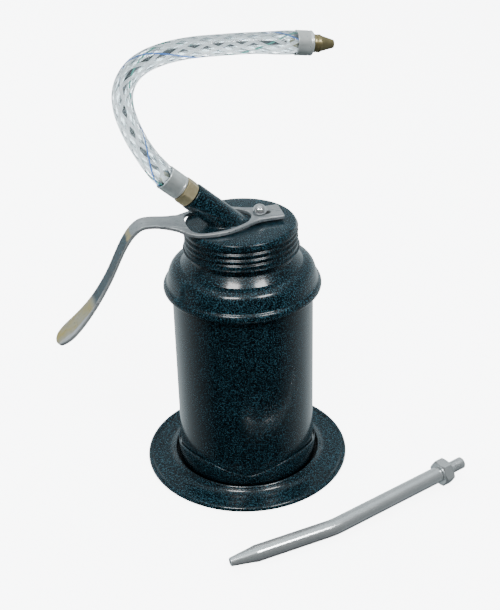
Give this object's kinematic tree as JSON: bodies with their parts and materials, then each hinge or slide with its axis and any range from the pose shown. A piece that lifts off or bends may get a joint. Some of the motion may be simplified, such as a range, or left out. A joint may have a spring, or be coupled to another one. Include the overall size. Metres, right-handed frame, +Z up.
{
  "type": "pump oil can",
  "caption": "Sheet-metal pump oil can on a wide foot, with a screwed cap, a lift pump worked by a rocking lever, a bent flexible spout and a loose rigid spout.",
  "frame": {"origin": "middle of the can's flat underside", "axes": "+Z up along the can's axis; +X from the can's axis towards the pump rod, so the trigger lever's handle is on the -X side"},
  "size_m": [0.1797, 0.1307, 0.2087],
  "materials": {
    "dark_enamel": "gloss",
    "zinc_steel": "satin",
    "polished_steel": "polished",
    "brass": "satin",
    "aluminium": "satin",
    "rubber": "matte",
    "clear_hose": "gloss",
    "leather": "matte"
  },
  "bodies": {
    "can": {"base_flange": "dark_enamel", "body_bottom": "dark_enamel", "body_shell": "dark_enamel", "shoulder_neck": "dark_enamel"},
    "gasket": {"cap_gasket": "rubber"},
    "cap": {"cap_shell": "dark_enamel", "pump_head": "zinc_steel", "spout_neck": "dark_enamel", "hose_tail": "brass", "lower_ferrule": "aluminium", "spout_hose": "clear_hose", "upper_ferrule": "aluminium", "nozzle": "brass", "gland_nut": "brass", "gland_packing": "leather", "pump_barrel": "brass", "return_spring": "polished_steel", "foot_valve_body": "brass", "ball_stop_pin": "polished_steel", "suction_tube": "zinc_steel", "strainer_cup": "brass"},
    "lever": {"trigger_lever": "zinc_steel"},
    "plunger": {"pump_rod": "polished_steel", "rod_head": "polished_steel", "piston_body": "brass", "piston_seal": "leather"},
    "piston_valve": {"piston_ball": "polished_steel"},
    "foot_valve": {"foot_valve_ball": "polished_steel"},
    "spare_spout": {"spare_spout_tube": "zinc_steel", "spare_spout_nut": "zinc_steel"}
  },
  "joints": [
    {"name": "cap_rise", "type": "slide", "parent": "can", "child": "gasket", "axis": [0, 0, 1], "range_m": [0, 0.0056]},
    {"name": "cap_turn", "type": "hinge", "parent": "gasket", "child": "cap", "pos_m": [0, 0, 0.12], "axis": [0, 0, 1], "range_deg": [0, 721]},
    {"name": "lever_rock", "type": "hinge", "parent": "cap", "child": "lever", "pos_m": [-0.0225, 0, 0.125], "axis": [0, -1, 0], "range_deg": [0, 14], "stiffness_Nm_per_rad": 0.6, "springref_deg": -8.59},
    {"name": "plunger_lift", "type": "slide", "parent": "cap", "child": "plunger", "axis": [0, 0, 1], "range_m": [0, 0.0085], "deforming": ["return_spring"]},
    {"name": "piston_ball_lift", "type": "slide", "parent": "plunger", "child": "piston_valve", "axis": [0, 0, 1], "range_m": [0, 0.001]},
    {"name": "foot_ball_lift", "type": "slide", "parent": "cap", "child": "foot_valve", "axis": [0, 0, 1], "range_m": [0, 0.0008]},
    {"name": "spare_spout_lift", "type": "slide", "parent": "can", "child": "spare_spout", "axis": [0, 0, 1], "range_m": [0, 0.12]}
  ],
  "couplings": [
    {"joint": "cap_turn", "follows": "cap_rise", "rad_per_m": 2244},
    {"joint": "plunger_lift", "follows": "lever_rock", "m_per_rad": 0.0344}
  ]
}
